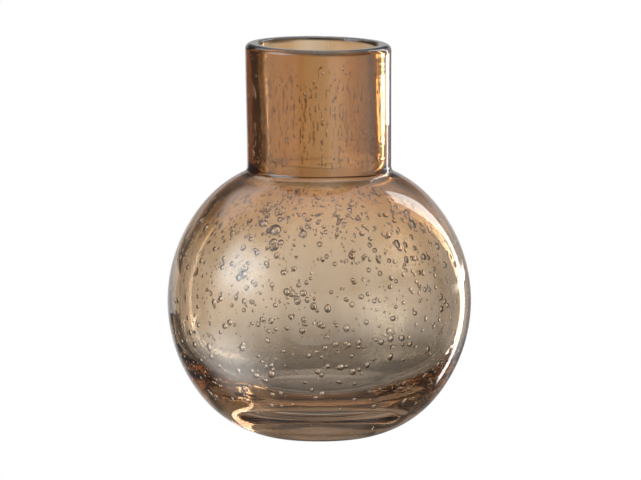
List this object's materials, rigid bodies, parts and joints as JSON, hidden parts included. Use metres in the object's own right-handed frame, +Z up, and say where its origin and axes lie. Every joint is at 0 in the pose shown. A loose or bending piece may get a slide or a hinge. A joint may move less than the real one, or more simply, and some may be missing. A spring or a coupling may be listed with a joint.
{
  "type": "glass bud vase",
  "caption": "Round cased-glass vase with a wide straight neck, a thick clear base and an amber lining; holds water and cut stems.",
  "frame": {"origin": "centre of the foot, on the surface that the vase stands on", "axes": "+Z up along the axis of the neck and body; the vase is round, so +X and +Y are free"},
  "size_m": [0.1246, 0.1246, 0.16],
  "materials": {
    "smoke_clear_glass": "fire-polished, with small trapped air bubbles",
    "amber_glass": "fire-polished, tinted through"
  },
  "bodies": {
    "root": {"clear_casing": "smoke_clear_glass", "amber_lining": "amber_glass"}
  },
  "joints": []
}
